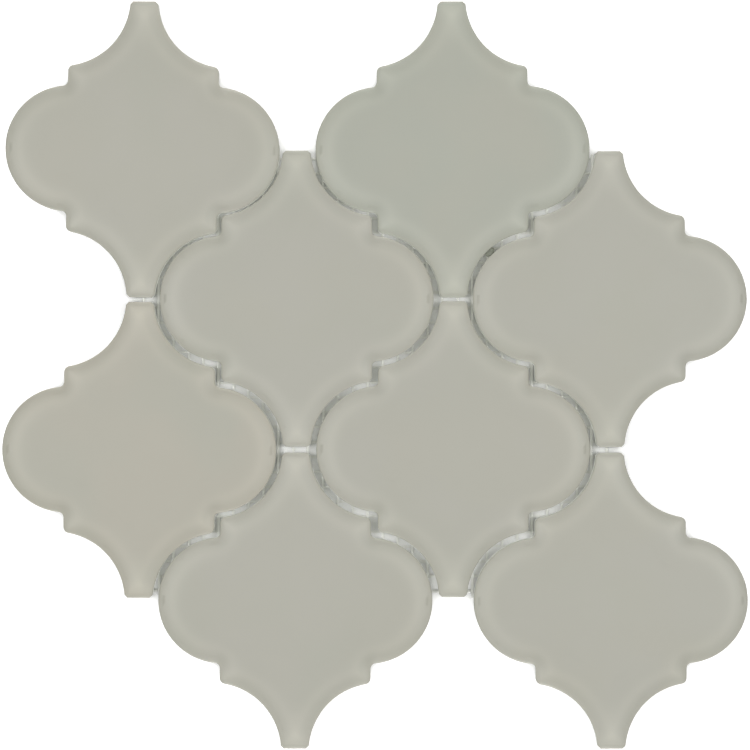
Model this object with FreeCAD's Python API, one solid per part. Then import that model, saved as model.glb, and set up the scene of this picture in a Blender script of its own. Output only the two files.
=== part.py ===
"""A mosaic sheet of eight pressed-glass arabesque tiles on a trimmed net of glass-fibre yarn.

Every tile has the same lantern outline: a round lobe at each side, a tip above and below, and a
small square step where a lobe meets a tip. The lobe of one tile nests in the hollow flank of the
next with an even joint all round. The flat face falls away over a bevelled rim, which follows the
lobes, steps, flanks and tips, to an upright edge. The flat backs lie on the net, whose yarns run
across and down the sheet in two layers.

Frame: millimetres, X to the right and Y up the sheet as its face is looked at, +Z out of the
face. The origin is the middle of the sheet, at the underside of the net.
"""
import FreeCAD
import Part

import math
import os

# Tiling
PITCH_ACROSS = 104.2  # centre to centre of two tiles side by side
JOINT = 1.8  # open joint all round a tile

# Tile outline
LOBE_RADIUS = 20.95
STEP_LENGTH = 3.22  # straight part of the step
TIP_WIDTH = 9.2  # at the waist, where the two flanks come closest
SHOULDER_RADIUS = 2.0  # outer corner of the step
NOTCH_RADIUS = 1.8  # inner corner of the step
TIP_CORNER = 1.0  # width of the flat that takes off each corner of the tip's end

# Tile section
TILE_THICKNESS = 8.0
RIM_WIDTH = 2.7  # from the edge in to the flat of the face
RIM_DROP = 1.2  # how far the face falls from its flat to the edge

# Net
YARN_PITCH = 5.0
YARN_WIDTH = 0.9
YARN_THICKNESS = 0.3
NET_SETBACK = 7.0  # each yarn stops this far short of the line where the next sheet begins
SHORTEST_YARN = 4.0  # shorter ends of yarn fall away when the net is trimmed

# The tiles are laid by hand: name, column and row on the half-pitch grid, then how far the tile
# sits off it to the right and up, as shares of the joint, and its turn anticlockwise in degrees.
LAID_TILES = [
    ("tile_row1_left", 0, 0, 0.27, -0.08, -0.8),
    ("tile_row1_right", 2, 0, -0.14, -0.1, 0.4),
    ("tile_row2_left", 1, 1, -0.08, 0.16, 0.0),
    ("tile_row2_right", 3, 1, 0.06, 0.08, 0.3),
    ("tile_row3_left", 0, 2, -0.33, 0.05, -0.3),
    ("tile_row3_right", 2, 2, 0.0, 0.19, -0.1),
    ("tile_row4_left", 1, 3, -0.33, 0.03, -0.2),
    ("tile_row4_right", 3, 3, 0.25, 0.0, 0.3),
]
MIDDLE_STEP = 1.5  # the sheet's middle on the half-pitch grid, which runs from 0 to 3 both ways

CUTTER_MARGIN = 1.0  # how far the rim's cutters reach past the edge and above the face
UP = FreeCAD.Vector(0, 0, 1)
HALF_TURN = 180.0


def vec(x, y, z=0.0):
    return FreeCAD.Vector(x, y, z)


def polar(centre, radius, degrees):
    """The point at a radius and direction from a centre, in the plane of the sheet."""
    turn = math.radians(degrees)
    return centre + vec(radius * math.cos(turn), radius * math.sin(turn))


def direction(start, end):
    """The direction from one point to another, in degrees."""
    return math.degrees(math.atan2(end.y - start.y, end.x - start.x))


def other_leg(radius, leg):
    """The second short side of a right triangle whose longest side is the radius."""
    return math.sqrt(radius**2 - leg**2)


# Rounds and corners of the tile's upper right quarter. The flank's round is centred on the lobe
# that nests in it. The notch and shoulder rounds touch both the step and the lobe or flank beside
# it.
STEP_X = PITCH_ACROSS / 4 - JOINT / 2
FLANK_RADIUS = LOBE_RADIUS + JOINT
FLANK_X = TIP_WIDTH / 2 + FLANK_RADIUS
LOBE = vec(PITCH_ACROSS / 2 - FLANK_X, 0)
NOTCH_X = STEP_X + NOTCH_RADIUS
NOTCH = vec(NOTCH_X, other_leg(LOBE_RADIUS + NOTCH_RADIUS, NOTCH_X - LOBE.x))
SHOULDER = vec(STEP_X - SHOULDER_RADIUS, NOTCH.y + STEP_LENGTH)
FLANK_Y = SHOULDER.y + other_leg(FLANK_RADIUS + SHOULDER_RADIUS, SHOULDER.x - FLANK_X)
FLANK = vec(FLANK_X, FLANK_Y)
PITCH_DOWN = 2 * FLANK.y  # centre to centre of two tiles tip to tip, 100.5 with the sizes above
TIP_Y = FLANK.y - JOINT / 2
TIP_SIDE_Y = TIP_Y - TIP_CORNER
TIP_SIDE = vec(FLANK.x - other_leg(FLANK_RADIUS, FLANK.y - TIP_SIDE_Y), TIP_SIDE_Y)
TIP_END = vec(TIP_SIDE.x - TIP_CORNER, TIP_Y)

# Directions from the rounds' centres to the points where they meet.
NOTCH_TURN = direction(LOBE, NOTCH)
SHOULDER_TURN = direction(SHOULDER, FLANK)
TIP_TURN = direction(FLANK, TIP_SIDE) % (2 * HALF_TURN)


def arc_edge(centre, radius, start, end):
    middle = (start + end) / 2
    return Part.Arc(*(polar(centre, radius, turn) for turn in (start, middle, end))).toShape()


def line_edge(start, end):
    return Part.LineSegment(start, end).toShape()


def quarter_outline():
    """The closed outline of the tile's upper right quarter."""
    edges = [
        line_edge(vec(0, 0), polar(LOBE, LOBE_RADIUS, 0)),
        arc_edge(LOBE, LOBE_RADIUS, 0, NOTCH_TURN),
        arc_edge(NOTCH, NOTCH_RADIUS, NOTCH_TURN + HALF_TURN, HALF_TURN),
        line_edge(vec(STEP_X, NOTCH.y), vec(STEP_X, SHOULDER.y)),
        arc_edge(SHOULDER, SHOULDER_RADIUS, 0, SHOULDER_TURN),
        arc_edge(FLANK, FLANK_RADIUS, SHOULDER_TURN + HALF_TURN, TIP_TURN),
        line_edge(TIP_SIDE, TIP_END),
        line_edge(TIP_END, vec(0, TIP_Y)),
        line_edge(vec(0, TIP_Y), vec(0, 0)),
    ]
    return Part.Wire(edges)


def rim_section(deepest=RIM_WIDTH, outside=CUTTER_MARGIN):
    """The face of a rim cutter: what lies over the bevel, from outside the edge in to a depth.

    It stands in the XZ plane, with the tile's edge at x = 0 and depth along -X.
    """
    edge_z = TILE_THICKNESS - RIM_DROP
    over_z = TILE_THICKNESS + CUTTER_MARGIN
    depth = min(RIM_WIDTH, deepest)
    deep_z = edge_z + RIM_DROP * depth / RIM_WIDTH
    corners = [(outside, edge_z), (0, edge_z), (-depth, deep_z), (-depth, over_z), (outside, over_z)]
    return Part.Face(Part.makePolygon([vec(x, 0, z) for x, z in corners + corners[:1]]))


def round_cutter(centre, radius, start, end, hollow=False):
    """Cuts the rim along a round of the outline, between two directions from its centre.

    hollow is for a round whose centre lies outside the tile.
    """
    if hollow:
        section = rim_section(outside=min(CUTTER_MARGIN, radius / 2))
        section.rotate(vec(0, 0), UP, HALF_TURN)
    else:
        section = rim_section(deepest=radius)
    section.translate(vec(radius, 0))
    section.rotate(vec(0, 0), UP, start)
    section.translate(centre)
    return section.revolve(centre, UP, end - start)


def straight_cutter(start, end):
    """Cuts the rim along a straight of the outline, which has the tile on its left."""
    section = rim_section()
    section.rotate(vec(0, 0), UP, direction(start, end) - HALF_TURN / 2)
    section.translate(start)
    return section.extrude(end - start)


def mirrored_whole(quarter):
    """The quarter joined with its mirror images across the tile's two middle lines."""
    half = quarter.fuse(quarter.mirror(vec(0, 0), vec(1, 0)))
    return half.fuse(half.mirror(vec(0, 0), vec(0, 1))).removeSplitter()


def make_tile():
    """One tile about its own centre, with its back at z = 0."""
    quarter = Part.Face(quarter_outline()).extrude(UP * TILE_THICKNESS)
    cutters = [
        round_cutter(LOBE, LOBE_RADIUS, 0, NOTCH_TURN),
        round_cutter(NOTCH, NOTCH_RADIUS, HALF_TURN, NOTCH_TURN + HALF_TURN, hollow=True),
        straight_cutter(vec(STEP_X, NOTCH.y), vec(STEP_X, SHOULDER.y)),
        round_cutter(SHOULDER, SHOULDER_RADIUS, 0, SHOULDER_TURN),
        round_cutter(FLANK, FLANK_RADIUS, TIP_TURN, SHOULDER_TURN + HALF_TURN, hollow=True),
        straight_cutter(TIP_SIDE, TIP_END),
        straight_cutter(TIP_END, vec(-RIM_WIDTH, TIP_Y)),
    ]
    return mirrored_whole(quarter.cut(cutters)).Solids[0]


def lay(shape, column, row, right=0.0, up=0.0, turn=0.0):
    """A copy of a tile's shape in its hand-laid place on the sheet."""
    across = (column - MIDDLE_STEP) * PITCH_ACROSS / 2 + right * JOINT
    along = (MIDDLE_STEP - row) * PITCH_DOWN / 2 + up * JOINT
    laid = shape.copy()
    laid.rotate(vec(0, 0), UP, turn)
    laid.translate(vec(across, along))
    return laid


def net_region():
    """The sheet's share of the plane as one flat face: a diamond of one pitch for each tile.

    The diamonds' edges run through the middles of the steps, from tile to tile.
    """
    side, top = vec(PITCH_ACROSS / 2, 0), vec(0, PITCH_DOWN / 2)
    diamond = Part.Face(Part.makePolygon([side, top, -side, -top, side]))
    cells = [lay(diamond, column, row) for _, column, row, *_ in LAID_TILES]
    return cells[0].fuse(cells[1:]).removeSplitter()


def yarns(region, along, aside, bottom):
    """The yarns of one layer: separate boxes, cut square short of the region's outline.

    along is the unit direction that they run in, and aside the one that they are spread in.
    """
    reach = region.BoundBox.DiagonalLength / 2
    count = int(reach / YARN_PITCH)
    solids = []
    for number in range(-count, count):
        middle = aside * ((number + 0.5) * YARN_PITCH)
        line = line_edge(middle - along * reach, middle + along * reach)
        for piece in line.common(region).Edges:
            first, last = (vertex.Point for vertex in piece.Vertexes)
            setback = (last - first).normalize() * NET_SETBACK
            if piece.Length < 2 * NET_SETBACK + SHORTEST_YARN:
                continue
            first, last = first + setback, last - setback
            side = aside * (YARN_WIDTH / 2)
            strip = Part.makePolygon([first - side, last - side, last + side, first + side, first - side])
            strip.translate(UP * bottom)
            solids.append(Part.Face(strip).extrude(UP * YARN_THICKNESS))
    return Part.makeCompound(solids)


def build():
    """Every node of the sheet by name, centred on the origin."""
    tile = make_tile()
    region = net_region()
    across, along = vec(1, 0), vec(0, 1)
    nodes = {
        "net_cross_yarns": yarns(region, across, along, 0),
        "net_long_yarns": yarns(region, along, across, YARN_THICKNESS),
    }
    for name, *place in LAID_TILES:
        nodes[name] = lay(tile, *place)
        nodes[name].translate(UP * 2 * YARN_THICKNESS)
    box = Part.makeCompound(list(nodes.values())).optimalBoundingBox(False, False)
    for shape in nodes.values():
        shape.translate(vec(-box.Center.x, -box.Center.y))
    return nodes


os.makedirs("parts", exist_ok=True)
for node, shape in build().items():
    shape.exportStep(f"parts/{node}.step")
    print(node, len(shape.Solids), "solids,", round(shape.Volume), "mm3, valid:", shape.isValid())
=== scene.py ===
"""A mosaic sheet of eight frosted, back-painted glass tiles on a glass-fibre net.

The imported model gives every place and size. One tile is modelled from a CAD tile's outline, with a
softly rounded rim, and its eight copies stand for the CAD tiles. Two layers of rounded yarns stand
for the net's. The crumb of glass that is wedged in one joint is the scene's own.
"""

import logging
import math
from collections.abc import Callable, Iterator
from contextlib import contextmanager
from dataclasses import dataclass, field
from enum import Enum

import bmesh
import bpy
import numpy as np
from mathutils import Euler, Matrix, Vector


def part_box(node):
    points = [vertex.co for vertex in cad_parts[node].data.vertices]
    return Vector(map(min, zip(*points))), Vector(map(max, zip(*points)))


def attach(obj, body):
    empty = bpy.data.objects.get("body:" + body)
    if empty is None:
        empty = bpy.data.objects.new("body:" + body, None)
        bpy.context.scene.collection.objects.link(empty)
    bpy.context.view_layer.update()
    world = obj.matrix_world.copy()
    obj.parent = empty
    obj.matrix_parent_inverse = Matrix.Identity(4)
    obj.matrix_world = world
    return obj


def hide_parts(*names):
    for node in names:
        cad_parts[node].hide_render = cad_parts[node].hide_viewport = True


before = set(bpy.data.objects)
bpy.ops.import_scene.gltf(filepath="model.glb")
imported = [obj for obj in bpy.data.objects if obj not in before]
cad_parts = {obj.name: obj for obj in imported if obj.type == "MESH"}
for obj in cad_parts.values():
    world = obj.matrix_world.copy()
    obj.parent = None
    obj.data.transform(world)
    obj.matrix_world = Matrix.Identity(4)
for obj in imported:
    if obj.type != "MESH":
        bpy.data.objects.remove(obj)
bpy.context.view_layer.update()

Colour = tuple[float, float, float]
Triple = tuple[float, float, float]
Span = tuple[float, float]
Curve = tuple[tuple[float, float], ...]
Mesh = bpy.types.Object
Shader = bpy.types.Material
Socket = bpy.types.NodeSocket

BODY = "root"
MM = 0.001
GLASS_IOR = 1.5
WELD = 0.002 * MM
LEVEL = 0.01 * MM
CUT_SLACK = 1e-7

log = logging.getLogger("tile_sheet")


class YarnRun(Enum):
    """Which way a layer's yarns run: the axis along them and the axis across them."""

    ACROSS = (0, 1)
    ALONG = (1, 0)


class TileSide(Enum):
    """The sides of a tile, with the number of each one's material on the mesh."""

    FACE = 0
    EDGE = 1
    BACK = 2


class Pick(Enum):
    """What is picked out in edit mode: the mesh's list of it, and its select mode."""

    EDGES = ("edges", "EDGE")
    FACES = ("faces", "FACE")


@dataclass(frozen=True)
class Blotches:
    """A soft noise: its size in metres, its finer layers, and how it is drawn out on each axis."""

    size: float
    detail: float = 2.0
    stretch: Triple = (1, 1, 1)


class Nodes:
    """A material's node tree, built by short calls."""

    def __init__(self, name: str) -> None:
        """Starts a material.

        Args:
            name: The material's name.
        """
        self.material: Shader = bpy.data.materials.new(name)
        self.material.use_nodes = True
        self.tree = self.material.node_tree
        self.shader = self.tree.nodes["Principled BSDF"]
        self.place = self.add("ShaderNodeTexCoord").outputs["Object"]

    def add(self, kind: str, inputs: dict | None = None, **settings: object) -> bpy.types.Node:
        """Adds a node.

        Args:
            kind: The node's type.
            inputs: Its inputs by name or number, each a value or a socket to link from.
            settings: Its own properties.

        Returns:
            The node.
        """
        node = self.tree.nodes.new(kind)
        for key, value in settings.items():
            setattr(node, key, value)
        for key, value in (inputs or {}).items():
            self.feed(node.inputs[key], value)
        return node

    def feed(self, socket: Socket, value: object) -> None:
        """Links a socket, or sets its value.

        Args:
            socket: The socket to feed.
            value: A socket to link from, or the value. A colour is given without its alpha.
        """
        if isinstance(value, Socket):
            self.tree.links.new(value, socket)
        elif socket.type == "RGBA":
            socket.default_value = (*value, 1.0)
        else:
            socket.default_value = value

    def noise(self, blotches: Blotches) -> Socket:
        """Soft noise in the piece's own space.

        Args:
            blotches: The kind of noise.

        Returns:
            The noise, from 0 to 1.
        """
        scale = tuple(1 / (blotches.size * part) for part in blotches.stretch)
        mapping = self.add("ShaderNodeMapping", {"Vector": self.place, "Scale": scale})
        inputs = {"Vector": mapping.outputs["Vector"], "Scale": 1.0, "Detail": blotches.detail}
        return self.add("ShaderNodeTexNoise", inputs).outputs["Fac"]

    def open_air(self, reach: float, rays: int) -> Socket:
        """How open a point lies, from 0 to 1, judged by so many rays of that reach."""
        inputs = {"Distance": reach}
        return self.add("ShaderNodeAmbientOcclusion", inputs, samples=rays).outputs["AO"]

    def reckon(self, kind: str, first: object, second: object) -> Socket:
        """One operation on two numbers."""
        return self.add("ShaderNodeMath", {0: first, 1: second}, operation=kind).outputs[0]

    def spread(
        self, value: object, low: float, high: float, start: float = 0, end: float = 1
    ) -> Socket:
        """Maps a number from start...end on to low...high, and no further."""
        inputs = {"Value": value, "From Min": start, "From Max": end, "To Min": low, "To Max": high}
        return self.add("ShaderNodeMapRange", inputs).outputs["Result"]

    def curve(self, value: object, points: Curve) -> Socket:
        """Reads a smooth curve.

        Args:
            value: Where it is read, from 0 to 1.
            points: The points that it goes through, all within 0 to 1.

        Returns:
            Its height there.
        """
        node = self.add("ShaderNodeFloatCurve", {"Value": value})
        line = node.mapping.curves[0]
        line.points[0].location, line.points[1].location = points[0], points[-1]
        for point in points[1:-1]:
            line.points.new(*point)
        node.mapping.update()
        return node.outputs["Value"]

    def blend(self, share: object, first: object, second: object) -> Socket:
        """Mixes two colours, by the second one's share, through sockets that have only numbers."""
        inputs = {0: share, 6: first, 7: second}
        return self.add("ShaderNodeMix", inputs, data_type="RGBA").outputs[2]

    def shade(self, colour: object, factor: object) -> Socket:
        """A colour times a number."""
        node = self.add("ShaderNodeVectorMath", {0: colour, "Scale": factor}, operation="SCALE")
        return node.outputs["Vector"]

    def attribute(self, name: str) -> Socket:
        """A number that the mesh carries."""
        return self.add("ShaderNodeAttribute", attribute_name=name).outputs["Fac"]

    def bump(self, height: object, depth: float, before: object = None) -> Socket:
        """Turns a height into a bumped normal.

        Args:
            height: The height, from 0 to 1.
            depth: What a height of 1 stands for, in metres.
            before: A bumped normal to add to.

        Returns:
            The normal.
        """
        inputs = {"Height": height, "Distance": depth, "Strength": 1.0}
        if before is not None:
            inputs["Normal"] = before
        return self.add("ShaderNodeBump", inputs).outputs["Normal"]

    def finish(self, **sockets: object) -> Shader:
        """Feeds the Principled shader.

        Args:
            sockets: What goes into each of its sockets, named with _ for a space.

        Returns:
            The material.
        """
        for key, value in sockets.items():
            self.feed(self.shader.inputs[key.replace("_", " ")], value)
        return self.material


@dataclass(frozen=True)
class FrostedFace:
    """Etched glass over grey paint.

    The base colour holds painted light for what the edges gather: a lighter ridge inside the rim,
    light spots in the shoulders and a light stripe in each tip, and painted shade round notches.
    """

    neutral: Colour = (0.393, 0.387, 0.334)
    green: Colour = (0.366, 0.377, 0.319)
    warm: Colour = (0.404, 0.387, 0.323)
    drift: Blotches = Blotches(40 * MM, 0.0)
    cloud: Blotches = Blotches(26 * MM, 1.0)
    cloud_share: float = 0.5
    cloud_rise: Span = (0.42, 0.62)
    reach: float = 10.0
    painted_glow: Curve = (
        (0.0, 0.65), (0.05, 0.58), (0.1, 0.5), (0.16, 0.47), (0.24, 0.455), (0.34, 0.51),
        (0.44, 0.585), (0.53, 0.553), (0.66, 0.433), (0.8, 0.355), (1.0, 0.333),
    )
    painted_glow_span: Span = (0.90, 1.20)
    painted_spot_gain: float = 0.3
    mottle: Blotches = Blotches(6 * MM)
    mottle_span: Span = (0.99, 1.01)
    grain: Blotches = Blotches(0.09 * MM, 1.0)
    grain_depth: float = 0.004 * MM
    etch: Blotches = Blotches(1.4 * MM, 1.0)
    etch_depth: float = 0.006 * MM
    polish: Blotches = Blotches(3 * MM)
    roughness: Span = (0.42, 0.48)

    def material(self) -> Shader:
        """Builds the finish.

        Returns:
            The material.
        """
        n = Nodes("frosted_face")
        hue = n.attribute("warmth")
        green_share = n.spread(hue, 1, 0, -1, 0)
        warm_share = n.spread(hue, 0, 1)
        tone = n.blend(warm_share, n.blend(green_share, self.neutral, self.green), self.warm)
        cloud = n.spread(n.noise(self.cloud), 0, self.cloud_share, *self.cloud_rise)
        tone = n.blend(cloud, tone, n.blend(n.noise(self.drift), self.green, self.warm))
        # Painted light: the depth curve lightens the very edge and a ridge inside the rim, and the
        # stored share lightens shoulders and tips and darkens round notches.
        depth = n.reckon("DIVIDE", n.attribute("depth"), self.reach)
        painted_glow = n.spread(n.curve(depth, self.painted_glow), *self.painted_glow_span)
        painted_spots = n.reckon("MULTIPLY", n.attribute("painted_light_shade"), self.painted_spot_gain)
        tone = n.shade(tone, n.reckon("ADD", painted_glow, painted_spots))
        tone = n.shade(tone, n.spread(n.noise(self.mottle), *self.mottle_span))
        grain = n.bump(n.noise(self.grain), self.grain_depth)
        etch = n.bump(n.noise(self.etch), self.etch_depth, grain)
        rough = n.spread(n.noise(self.polish), *self.roughness)
        return n.finish(Base_Color=tone, Roughness=rough, Normal=etch, IOR=GLASS_IOR)


@dataclass(frozen=True)
class GlassEdge:
    """The upright edge: grey-green glass that darkens towards the paint line at the back.

    Inside a joint it has a faint painted glow, an emission that stands for the light that real
    glass passes on there. In the open it doesn't.
    """

    upper: Colour = (0.46, 0.47, 0.42)
    lower: Colour = (0.4, 0.42, 0.37)
    paint: Colour = (0.33, 0.32, 0.28)
    back_z: float = 0.6 * MM
    rim_z: float = 6.9 * MM
    darkening: Curve = ((0, 0), (0.5, 0.3), (1, 1))
    mottle: Blotches = Blotches(2.5 * MM, 3.0)
    mottle_span: Span = (0.92, 1.06)
    paint_line: float = 0.35 * MM
    wander: Blotches = Blotches(1.2 * MM)
    wander_span: Span = (0.4, 1.6)
    ripple: Blotches = Blotches(1.0 * MM, stretch=(1, 1, 4))
    ripple_depth: float = 0.02 * MM
    polish: Blotches = Blotches(1.5 * MM)
    roughness: Span = (0.28, 0.4)
    painted_glow: Colour = (0.87, 0.88, 0.81)
    painted_glow_span: Span = (0.41, 0.12)
    open_reach: float = 20 * MM
    open_rays: int = 6
    joint_to_open: Span = (0.25, 0.42)

    def material(self) -> Shader:
        """Builds the finish.

        Returns:
            The material.
        """
        n = Nodes("glass_edge")
        z = n.add("ShaderNodeSeparateXYZ", {"Vector": n.place}).outputs["Z"]
        rise = n.spread(z, 0, 1, self.back_z, self.rim_z)
        body = n.blend(n.curve(rise, self.darkening), self.lower, self.upper)
        body = n.shade(body, n.spread(n.noise(self.mottle), *self.mottle_span))
        wander = n.spread(n.noise(self.wander), *self.wander_span)
        line = n.reckon("MULTIPLY", wander, self.paint_line)
        painted = n.reckon("LESS_THAN", n.reckon("SUBTRACT", z, self.back_z), line)
        tone = n.blend(painted, body, self.paint)
        ripple = n.bump(n.noise(self.ripple), self.ripple_depth)
        rough = n.spread(n.noise(self.polish), *self.roughness)
        # Painted glow: emission in the joints only, fading towards the back.
        open_air = n.open_air(self.open_reach, self.open_rays)
        hidden = n.spread(open_air, 1, 0, *self.joint_to_open)
        painted_glow = n.reckon("MULTIPLY", hidden, n.spread(rise, *self.painted_glow_span))
        n.finish(Emission_Color=self.painted_glow, Emission_Strength=painted_glow)
        return n.finish(Base_Color=tone, Roughness=rough, Normal=ripple, IOR=GLASS_IOR)


@dataclass(frozen=True)
class BackPaint:
    """Baked grey paint on the flat back, with a fine orange peel and worn specks."""

    thick: Colour = (0.36, 0.35, 0.305)
    thin: Colour = (0.43, 0.425, 0.38)
    cover: Blotches = Blotches(7 * MM, 4.0)
    cover_share: float = 0.7
    cover_rise: Span = (0.35, 0.75)
    specks: Blotches = Blotches(0.9 * MM)
    speck_share: float = 0.5
    speck_rise: Span = (0.66, 0.74)
    peel: Blotches = Blotches(0.8 * MM)
    peel_depth: float = 0.03 * MM
    polish: Blotches = Blotches(4 * MM, 3.0)
    roughness: Span = (0.45, 0.62)

    def material(self) -> Shader:
        """Builds the finish.

        Returns:
            The material.
        """
        n = Nodes("back_paint")
        cover = n.spread(n.noise(self.cover), 0, self.cover_share, *self.cover_rise)
        tone = n.blend(cover, self.thick, self.thin)
        specks = n.spread(n.noise(self.specks), 0, self.speck_share, *self.speck_rise)
        tone = n.blend(specks, tone, self.thin)
        peel = n.bump(n.noise(self.peel), self.peel_depth)
        rough = n.spread(n.noise(self.polish), *self.roughness)
        return n.finish(Base_Color=tone, Roughness=rough, Normal=peel)


@dataclass(frozen=True)
class CrumbGlass:
    """Green-grey glass with no frosting, dull and mottled."""

    dark: Colour = (0.15, 0.16, 0.122)
    light: Colour = (0.22, 0.232, 0.183)
    mottle: Blotches = Blotches(0.5 * MM)
    mottle_rise: Span = (0.35, 0.65)
    pits: Blotches = Blotches(0.4 * MM)
    pit_depth: float = 0.05 * MM
    roughness: float = 0.55

    def material(self) -> Shader:
        """Builds the finish.

        Returns:
            The material.
        """
        n = Nodes("crumb_glass")
        mottle = n.spread(n.noise(self.mottle), 0, 1, *self.mottle_rise)
        tone = n.blend(mottle, self.dark, self.light)
        pits = n.bump(n.noise(self.pits), self.pit_depth)
        return n.finish(Base_Color=tone, Roughness=self.roughness, Normal=pits, IOR=GLASS_IOR)


@dataclass(frozen=True)
class ResinYarn:
    """White glass-fibre yarn, twisted and stiffened with resin."""

    run: YarnRun
    fibre: Colour = (0.85, 0.85, 0.83)
    shadow: Colour = (0.77, 0.77, 0.74)
    twist: float = 0.7 * MM
    lean: float = 1.4
    ply_depth: float = 0.06 * MM
    strand_size: float = 0.12 * MM
    strand_draw: float = 6.0
    strand_depth: float = 0.02 * MM
    polish: Blotches = Blotches(5 * MM)
    roughness: Span = (0.3, 0.5)
    resin: float = 0.25

    def material(self) -> Shader:
        """Builds the finish.

        Returns:
            The material.
        """
        n = Nodes(f"resin_yarn_{self.run.name.lower()}")
        along, aside = self.run.value
        lean, stretch = [0.0, 0.0, 0.0], [1.0, 1.0, 1.0]
        lean[along], lean[aside], stretch[along] = 1.0, self.lean, self.strand_draw
        inputs = {0: n.place, 1: tuple(lean)}
        dot = n.add("ShaderNodeVectorMath", inputs, operation="DOT_PRODUCT").outputs["Value"]
        turn = n.reckon("MULTIPLY", dot, 2 * math.pi / self.twist)
        ply = n.spread(n.reckon("SINE", turn, 0), 0, 1, -1, 1)
        strand = n.noise(Blotches(self.strand_size, stretch=tuple(stretch)))
        tone = n.blend(n.reckon("MULTIPLY", ply, strand), self.shadow, self.fibre)
        normal = n.bump(strand, self.strand_depth, n.bump(ply, self.ply_depth))
        rough = n.spread(n.noise(self.polish), *self.roughness)
        return n.finish(Base_Color=tone, Roughness=rough, Normal=normal, Coat_Weight=self.resin)


@dataclass(frozen=True)
class SweepWhite:
    """The matt white floor, lifted by a painted glow to white where nothing stands over it."""

    colour: Colour = (1.0, 1.0, 1.0)
    cloud: Blotches = Blotches(0.4)
    cloud_span: Span = (0.81, 0.83)
    roughness: float = 0.9
    painted_lift: float = 0.6
    open_reach: float = 30 * MM
    open_rays: int = 8
    shaded_to_open: Span = (0.34, 0.44)

    def material(self) -> Shader:
        """Builds the finish.

        Returns:
            The material.
        """
        n = Nodes("sweep_white")
        open_air = n.open_air(self.open_reach, self.open_rays)
        # Painted glow: emission that whitens the open floor and wipes out shadows there, but not in
        # the joints.
        painted_lift = n.spread(open_air, 0, self.painted_lift, *self.shaded_to_open)
        tone = n.shade(self.colour, n.spread(n.noise(self.cloud), *self.cloud_span))
        n.finish(Emission_Color=self.colour, Emission_Strength=painted_lift)
        return n.finish(Base_Color=tone, Roughness=self.roughness)


def alone(piece: Mesh) -> None:
    """Makes a piece the only one selected, and active.

    Args:
        piece: The piece.
    """
    bpy.ops.object.select_all(action="DESELECT")
    piece.select_set(True)
    bpy.context.view_layer.objects.active = piece


def own_copy(source: Mesh, name: str) -> Mesh:
    """A free copy of an object with its own mesh, selected alone.

    Args:
        source: The object to copy.
        name: The copy's name, and its mesh's.

    Returns:
        The copy.
    """
    piece = bpy.data.objects.new(name, source.data.copy())
    piece.data.name = name
    bpy.context.scene.collection.objects.link(piece)
    alone(piece)
    return piece


@contextmanager
def editing() -> Iterator[None]:
    """Keeps the active piece in edit mode for a block."""
    bpy.ops.object.mode_set(mode="EDIT")
    yield
    bpy.ops.object.mode_set(mode="OBJECT")


def on_all(operator: Callable[..., object], **settings: object) -> None:
    """In edit mode, selects all that shows and runs an operator on it."""
    bpy.ops.mesh.select_all(action="SELECT")
    operator(**settings)


def points(piece: Mesh) -> np.ndarray:
    """A mesh's points.

    Args:
        piece: The object.

    Returns:
        Its points, as rows.
    """
    rows = np.empty(len(piece.data.vertices) * 3)
    piece.data.vertices.foreach_get("co", rows)
    return rows.reshape(-1, 3)


def set_points(piece: Mesh, rows: np.ndarray) -> None:
    """Moves a mesh's points to rows."""
    piece.data.vertices.foreach_set("co", rows.astype(np.float32).ravel())
    piece.data.update()


def carry(piece: Mesh, name: str, values: np.ndarray) -> None:
    """Stores one number a point on a mesh, under a name."""
    attribute = piece.data.attributes.new(name, "FLOAT", "POINT")
    attribute.data.foreach_set("value", values.astype(np.float32))


def select_where(piece: Mesh, pick: Pick, test: Callable[[object], bool]) -> None:
    """In edit mode, selects the edges or faces that pass a test, and nothing else.

    Args:
        piece: The object in edit mode.
        pick: Whether its edges or its faces are tested.
        test: A function of one edge or face.
    """
    parts, mode = pick.value
    bpy.ops.mesh.select_all(action="DESELECT")
    bpy.ops.mesh.select_mode(type=mode)
    shape = bmesh.from_edit_mesh(piece.data)
    for part in getattr(shape, parts):
        part.select_set(bool(test(part)))
    shape.select_flush_mode()
    bmesh.update_edit_mesh(piece.data)


def slice_up(low: Vector, high: Vector, axis: int, pitch: float) -> None:
    """Cuts what shows in edit mode by planes across one axis.

    Args:
        low: The lowest corner of what is cut.
        high: Its highest corner.
        axis: The axis that the planes stand across.
        pitch: How far apart they stand, counted from the origin.
    """
    normal = Vector((0, 0, 0))
    normal[axis] = 1
    for number in range(math.ceil(low[axis] / pitch), math.floor(high[axis] / pitch) + 1):
        place = normal * (number * pitch)
        on_all(bpy.ops.mesh.bisect, plane_co=place, plane_no=normal, threshold=CUT_SLACK)


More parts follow.
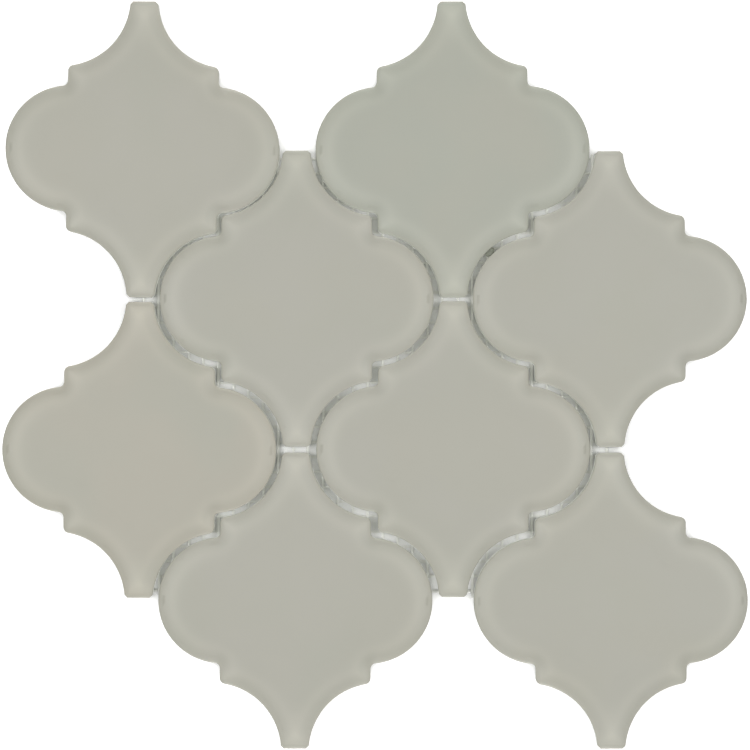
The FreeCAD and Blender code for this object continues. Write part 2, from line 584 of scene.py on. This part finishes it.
@dataclass(frozen=True)
class Outline:
    """A tile's outline in the plane of the sheet, as the two ends of each of its edges."""

    starts: np.ndarray
    ends: np.ndarray

    def depths(self, rows: np.ndarray) -> np.ndarray:
        """How far points lie from the nearest edge.

        Args:
            rows: The points.

        Returns:
            One distance a point.
        """
        spans = self.ends - self.starts
        lengths = (spans**2).sum(1)
        offsets = rows[:, None, :2] - self.starts[None]
        share = np.clip((offsets * spans).sum(2) / lengths, 0, 1)
        gaps = offsets - share[..., None] * spans
        return np.sqrt((gaps**2).sum(2)).min(1)

    def light(
        self, rows: np.ndarray, depths: np.ndarray, reach: float, step: float = 0.1
    ) -> np.ndarray:
        """How much more edge lies near points than of a straight edge at the same depth.

        Args:
            rows: The points.
            depths: How far each lies from the outline.
            reach: How far the edges' light goes.
            step: How long a piece of edge is taken at a time, as a share of the reach.

        Returns:
            One share a point, for painted light and shade: above 0 in a jutting corner,
            below 0 round a notch.
        """
        spans = self.ends - self.starts
        lengths = np.sqrt((spans**2).sum(1))
        parts = np.maximum(1, np.round(lengths / (step * reach)).astype(int))
        edge = np.repeat(np.arange(len(parts)), parts)
        number = np.arange(parts.sum()) - np.repeat(parts.cumsum() - parts, parts)
        middles = self.starts[edge] + spans[edge] * ((number + 0.5) / parts[edge])[:, None]
        away = ((rows[:, None, :2] - middles[None]) ** 2).sum(2) / reach**2
        total = (np.exp(-away) * (lengths / parts)[edge]).sum(1) / (reach * math.sqrt(math.pi))
        return total - np.exp(-((depths / reach) ** 2))


@dataclass(frozen=True)
class TileLay:
    """One tile's turn in degrees, and its tone from -1, greenest, to 1, warmest."""

    turn: float
    warmth: float


@dataclass
class GlassTile:
    """The eight tiles, all pressed in one mould."""

    mould_node: str = "tile_row2_left"
    lays: dict[str, TileLay] = field(default_factory=lambda: {
        "tile_row1_left": TileLay(-0.8, 0.15),
        "tile_row1_right": TileLay(0.4, -0.9),
        "tile_row2_left": TileLay(0.0, 0.0),
        "tile_row2_right": TileLay(0.3, -0.1),
        "tile_row3_left": TileLay(-0.3, 0.9),
        "tile_row3_right": TileLay(-0.1, 0.0),
        "tile_row4_left": TileLay(-0.2, 0.1),
        "tile_row4_right": TileLay(0.3, -0.05),
    })
    flat_angle: float = math.radians(0.05)
    rings: tuple[float, ...] = (0.15, 0.2, 0.25, 0.3, 0.35, 0.35)
    pitch: float = 1.0 * MM
    slopes: Curve = (
        (0, 1.0), (0.2, 0.6), (0.5, 0.36), (1.2, 0.27), (2.7, 0.17), (4.6, 0.08), (7, 0.02), (9, 0),
    )
    slope_steps: int = 400
    ring_slack: float = 0.05
    soften: int = 10
    soften_share: float = 0.5
    painted_light_reach: float = 4.5 * MM
    painted_tip_light: Curve = ((33, 0), (38, 0.13), (43, 0.12), (47, 0.26))
    painted_stripe_reach: float = 2 * MM
    arris: float = 0.3 * MM
    arris_steps: int = 2
    back_normal: float = -0.9
    edge_normal: float = 0.2
    smooth_angle: float = math.radians(42)

    def fall(self, depths: np.ndarray) -> np.ndarray:
        """How far the face lies under its flat.

        Args:
            depths: Distances inside the edge, in millimetres.

        Returns:
            One fall a distance, in millimetres.
        """
        at, slope = np.array(self.slopes).T
        fine = np.linspace(0, at[-1], self.slope_steps)
        steps = np.interp(fine, at, slope) * (fine[1] - fine[0])
        left = steps[::-1].cumsum()[::-1]
        return np.interp(depths, fine, left, right=0.0)

    def flat_outline(self, low: Vector, middle: Vector) -> Mesh:
        """The mould's outline as one flat face, centred, facing up.

        Args:
            low: The CAD tile's lowest corner.
            middle: The CAD tile's middle.

        Returns:
            The face, as a new object.
        """
        piece = own_copy(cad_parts[self.mould_node], "tile_mould")
        set_points(piece, points(piece) - np.array((middle.x, middle.y, 0)))
        with editing():
            on_all(bpy.ops.mesh.remove_doubles, threshold=WELD)
            above = low.z + LEVEL
            select_where(piece, Pick.FACES, lambda face: face.calc_center_median().z > above)
            bpy.ops.mesh.delete(type="FACE")
            on_all(bpy.ops.mesh.dissolve_limited, angle_limit=self.flat_angle)
            on_all(bpy.ops.mesh.flip_normals)
        return piece

    def grid_up(self, piece: Mesh, low: Vector, high: Vector) -> None:
        """Insets the flat face ring by ring for the rim, and cuts a grid inside the rings.

        Args:
            piece: The flat face.
            low: Its lowest corner.
            high: Its highest corner.
        """
        with editing():
            bpy.ops.mesh.select_mode(type="FACE")
            for ring in self.rings:
                bpy.ops.mesh.inset(thickness=ring * MM, use_even_offset=True)
            half = max(face.calc_area() for face in bmesh.from_edit_mesh(piece.data).faces) / 2
            select_where(piece, Pick.FACES, lambda face: face.calc_area() < half)
            bpy.ops.mesh.hide(unselected=False)
            for axis in (0, 1):
                slice_up(low, high, axis, self.pitch)
            bpy.ops.mesh.reveal(select=False)

    def mould(self) -> Mesh:
        """Models one whole tile about its own centre, at its height on the net.

        Returns:
            The tile, with its depths and its painted light and shade stored.
        """
        low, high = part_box(self.mould_node)
        middle = (low + high) / 2
        piece = self.flat_outline(low, middle)
        rim = points(piece)
        pairs = np.array([edge.vertices[:] for edge in piece.data.edges])
        outline = Outline(rim[pairs[:, 0], :2], rim[pairs[:, 1], :2])
        self.grid_up(piece, low - middle, high - middle)
        rows = points(piece)
        depths = outline.depths(rows)
        rows[:, 2] = high.z - self.fall(depths / MM) * MM
        set_points(piece, rows)
        self.ease_crests(piece, depths)
        carry(piece, "depth", depths / MM)
        # Painted light and shade: lighter in jutting corners and tips, darker round notches.
        painted_light_shade = outline.light(rows, depths, self.painted_light_reach) + self.painted_tip_stripe(rows)
        carry(piece, "painted_light_shade", painted_light_shade)
        self.body(piece, low.z)
        return piece

    def painted_tip_stripe(self, rows: np.ndarray) -> np.ndarray:
        """Painted light down a tip's middle line, for what both flanks send; one share a point."""
        along = np.interp(np.abs(rows[:, 1]) / MM, *zip(*self.painted_tip_light))
        return along * np.exp(-((rows[:, 0] / self.painted_stripe_reach) ** 2))

    def ease_crests(self, piece: Mesh, depths: np.ndarray) -> None:
        """Softens the crests where two slopes of the face meet.

        Args:
            piece: The face.
            depths: How deep inside the outline its points lie.
        """
        inner = depths > (sum(self.rings) + self.ring_slack) * MM
        piece.data.vertices.foreach_set("select", inner)
        easing = {"factor": self.soften_share, "repeat": self.soften}
        with editing():
            bpy.ops.mesh.select_mode(type="VERT")
            bpy.ops.mesh.vertices_smooth(xaxis=False, yaxis=False, zaxis=True, **easing)

    def body(self, piece: Mesh, back: float) -> None:
        """Gives the face its upright edge, its flat back and a small arris round the back.

        Args:
            piece: The face.
            back: The height of the back.
        """
        low = back + LEVEL
        with editing():
            select_where(piece, Pick.EDGES, lambda edge: edge.is_boundary)
            bpy.ops.mesh.extrude_region_move(TRANSFORM_OT_translate={"value": (0, 0, -MM)})
            shape = bmesh.from_edit_mesh(piece.data)
            for vertex in shape.verts:
                if vertex.select:
                    vertex.co.z = back
            bmesh.update_edit_mesh(piece.data)
            bpy.ops.mesh.edge_face_add()
            select_where(piece, Pick.EDGES, lambda edge: all(v.co.z < low for v in edge.verts))
            bpy.ops.mesh.bevel(offset=self.arris, segments=self.arris_steps, affect="EDGES")
            on_all(bpy.ops.mesh.normals_make_consistent, inside=False)

    def dress(self, piece: Mesh, back: float) -> None:
        """Gives the face, the edge and the back their finishes.

        Args:
            piece: The whole tile.
            back: The height of its back.
        """
        piece.data.materials.clear()
        for finish in (FrostedFace(), GlassEdge(), BackPaint()):
            piece.data.materials.append(finish.material())
        arris_top = back + 2 * self.arris
        for part in piece.data.polygons:
            if part.normal.z < self.back_normal:
                part.material_index = TileSide.BACK.value
            elif abs(part.normal.z) < self.edge_normal or part.center.z < arris_top:
                part.material_index = TileSide.EDGE.value

    def build(self) -> list[Mesh]:
        """Presses the eight tiles and lays each in its CAD node's place.

        Returns:
            The tiles.
        """
        mould = self.mould()
        self.dress(mould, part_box(self.mould_node)[0].z)
        alone(mould)
        bpy.ops.object.shade_smooth_by_angle(angle=self.smooth_angle)
        tiles = []
        for node, lay in self.lays.items():
            low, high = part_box(node)
            tile = own_copy(mould, f"glass_{node}")
            place = Matrix.Translation(Vector(((low.x + high.x) / 2, (low.y + high.y) / 2, 0)))
            tile.data.transform(place @ Matrix.Rotation(math.radians(lay.turn), 4, "Z"))
            carry(tile, "warmth", np.full(len(tile.data.vertices), lay.warmth))
            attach(tile, BODY)
            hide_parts(node)
            tiles.append(tile)
        bpy.data.objects.remove(mould)
        return tiles


@dataclass
class EdgeCrumb:
    """The crumb of glass that is wedged between the right tiles of rows 1 and 2."""

    place: Triple = (38.3 * MM, 41.1 * MM, 6.5 * MM)
    size: Triple = (2.0 * MM, 1.3 * MM, 1.1 * MM)
    turn: float = 48.0
    ragged: float = 0.4
    seed: int = 4
    levels: int = 2

    def build(self) -> Mesh:
        """Shapes the crumb.

        Returns:
            The crumb.
        """
        bpy.ops.object.select_all(action="DESELECT")
        bpy.ops.mesh.primitive_ico_sphere_add(subdivisions=self.levels, radius=1.0)
        crumb = bpy.context.object
        crumb.name = crumb.data.name = "glass_crumb"
        with editing():
            on_all(bpy.ops.transform.vertex_random, offset=self.ragged, seed=self.seed)
        smooth = crumb.modifiers.new("smooth", "SUBSURF")
        smooth.levels = smooth.render_levels = self.levels
        bpy.ops.object.modifier_apply(modifier=smooth.name)
        lie = Euler((0, 0, math.radians(self.turn)))
        crumb.data.transform(Matrix.LocRotScale(Vector(self.place), lie, Vector(self.size)))
        bpy.ops.object.shade_smooth()
        crumb.data.materials.append(CrumbGlass().material())
        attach(crumb, BODY)
        return crumb


@dataclass
class YarnLayer:
    """One layer of the net: rounded, slightly wavy yarns in the place of the CAD boxes."""

    node: str
    run: YarnRun
    flat_angle: float = math.radians(1)
    rounding: float = 0.13 * MM
    rounding_steps: int = 2
    pitch: float = 5 * MM
    wave: float = 0.05 * MM
    sway: float = 0.12 * MM
    sway_length: float = 63 * MM
    sway_lag: float = 0.37
    smooth_angle: float = math.radians(60)

    def rounded(self, low: Vector, high: Vector) -> Mesh:
        """Copies the CAD layer, rounds its yarns and cuts them into lengths that can bend.

        Args:
            low: The layer's lowest corner.
            high: Its highest corner.

        Returns:
            The yarns, as one object.
        """
        piece = own_copy(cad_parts[self.node], self.node.replace("net_", "resin_"))
        bevel = {"offset": self.rounding, "segments": self.rounding_steps, "affect": "EDGES"}
        with editing():
            on_all(bpy.ops.mesh.remove_doubles, threshold=WELD)
            on_all(bpy.ops.mesh.dissolve_limited, angle_limit=self.flat_angle)
            on_all(bpy.ops.mesh.bevel, **bevel)
            slice_up(low, high, self.run.value[0], self.pitch / 2)
        return piece

    def weave(self, piece: Mesh, low: float, high: float) -> None:
        """Waves the yarns up and down over their crossings, and lets them sway a little aside.

        Args:
            piece: The yarns.
            low: The height of the layer's underside.
            high: The height of its top.
        """
        along, aside = self.run.value
        rows = points(piece)
        middle = (low + high) / 2
        row = np.floor(rows[:, aside] / self.pitch)
        phase = (rows[:, along] / self.pitch - 0.5 + row) / 2
        thin = 1 - 2 * self.wave / (high - low)
        rows[:, 2] = middle + (rows[:, 2] - middle) * thin + self.wave * np.cos(2 * np.pi * phase)
        drift = rows[:, along] / self.sway_length + row * self.sway_lag
        rows[:, aside] += self.sway * np.sin(2 * np.pi * drift)
        set_points(piece, rows)

    def build(self) -> Mesh:
        """Models and dresses the layer.

        Returns:
            The yarns, as one object.
        """
        low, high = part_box(self.node)
        piece = self.rounded(low, high)
        self.weave(piece, low.z, high.z)
        piece.data.materials.clear()
        piece.data.materials.append(ResinYarn(self.run).material())
        bpy.ops.object.shade_smooth_by_angle(angle=self.smooth_angle)
        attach(piece, BODY)
        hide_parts(self.node)
        return piece


@dataclass(frozen=True)
class Lamp:
    """A soft lamp: the side it hangs on and its rise, both in degrees, and its power in watts."""

    name: str
    side: float
    rise: float
    power: float


@dataclass
class Studio:
    """The white sweep, the soft lights and the camera straight above the sheet."""

    face_z: float = 8.6 * MM
    camera_height: float = 1.6
    view_width: float = 0.25
    sensor: float = 36.0
    sweep_size: float = 6.0
    sky: float = 0.08
    lamp_reach: float = 1.3
    lamp_size: float = 0.3
    lamps: tuple[Lamp, ...] = (
        Lamp("right_lamp", 0, 71.0, 4.97),
        Lamp("top_lamp", 90, 25.0, 8.4),
        Lamp("left_lamp", 180, 71.0, 4.97),
        Lamp("bottom_lamp", 270, 25.0, 8.4),
    )

    def sweep(self) -> None:
        """Lays the white sweep."""
        bpy.ops.object.select_all(action="DESELECT")
        bpy.ops.mesh.primitive_plane_add(size=self.sweep_size)
        floor = bpy.context.object
        floor.name = "white_sweep"
        floor.data.materials.append(SweepWhite().material())

    def hang(self, lamp: Lamp) -> None:
        """Hangs a lamp that faces the middle of the sheet.

        Args:
            lamp: The lamp.
        """
        side, rise = math.radians(lamp.side), math.radians(lamp.rise)
        level = math.cos(rise)
        away = Vector((level * math.cos(side), level * math.sin(side), math.sin(rise)))
        place = away * self.lamp_reach
        light = bpy.data.lights.new(lamp.name, "AREA")
        light.shape = "RECTANGLE"
        light.size = light.size_y = self.lamp_size
        light.energy = lamp.power
        hung = bpy.data.objects.new(lamp.name, light)
        hung.location = place
        hung.rotation_euler = (-place).to_track_quat("-Z", "Y").to_euler()
        bpy.context.scene.collection.objects.link(hung)

    def air(self) -> None:
        """Fills the studio with a faint even white light."""
        world = bpy.data.worlds.new("studio_air")
        world.use_nodes = True
        sky = world.node_tree.nodes["Background"].inputs
        sky["Color"].default_value = (1, 1, 1, 1)
        sky["Strength"].default_value = self.sky
        bpy.context.scene.world = world

    def camera(self) -> None:
        """Sets the camera above the middle of the sheet, with the sheet's top at the top."""
        eye = bpy.data.cameras.new("overhead_camera")
        eye.sensor_width = self.sensor
        eye.lens = self.sensor * self.camera_height / self.view_width
        camera = bpy.data.objects.new("overhead_camera", eye)
        camera.location = (0, 0, self.face_z + self.camera_height)
        bpy.context.scene.collection.objects.link(camera)
        bpy.context.scene.camera = camera
        bpy.context.scene.view_settings.view_transform = "Standard"

    def build(self) -> None:
        """Sets up the whole studio."""
        self.sweep()
        for lamp in self.lamps:
            self.hang(lamp)
        self.air()
        self.camera()


def main() -> None:
    """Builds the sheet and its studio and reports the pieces."""
    logging.basicConfig(level=logging.INFO, format="%(name)s: %(message)s")
    pieces = GlassTile().build()
    pieces.append(EdgeCrumb().build())
    for node, run in (("net_cross_yarns", YarnRun.ACROSS), ("net_long_yarns", YarnRun.ALONG)):
        pieces.append(YarnLayer(node, run).build())
    Studio().build()
    for piece in pieces:
        log.info("%s: %d faces", piece.name, len(piece.data.polygons))


if __name__ == "__main__":
    main()
